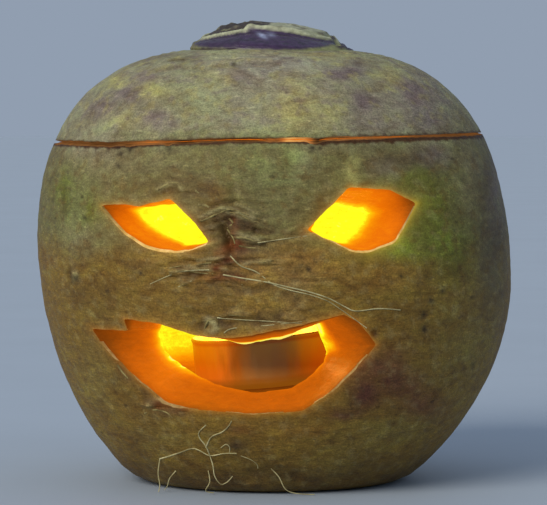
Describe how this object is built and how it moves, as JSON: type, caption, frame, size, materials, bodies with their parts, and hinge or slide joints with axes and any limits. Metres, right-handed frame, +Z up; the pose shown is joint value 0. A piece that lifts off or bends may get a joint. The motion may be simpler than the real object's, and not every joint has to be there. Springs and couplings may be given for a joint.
{
  "type": "carved turnip lantern",
  "caption": "Hollowed turnip with a loose cut-off lid, slanted eyes and a wide grinning mouth cut through its wall, lit from inside by a tealight.",
  "frame": {"origin": "middle of the flat sliced base, on the surface that the lantern stands on", "axes": "+Z up, the carved face looks toward -Y, +X to the right of someone who looks at the face"},
  "size_m": [0.117, 0.1159, 0.1131],
  "materials": {
    "turnip_skin": "waxy olive-brown turnip skin with scars, cut flesh glowing orange",
    "turnip_lid_skin": "green turnip skin with purple-grey patches, glossy purple crown",
    "aluminium_foil": "thin pressed foil cup, satin",
    "candle_wax": "pale paraffin wax, soft gloss",
    "charred_wick": "burnt cotton, matt black"
  },
  "bodies": {
    "root": {"turnip_body": "turnip_skin", "turnip_lid": "turnip_lid_skin", "tealight_cup": "aluminium_foil", "tealight_wax": "candle_wax", "tealight_wick": "charred_wick"}
  },
  "joints": []
}
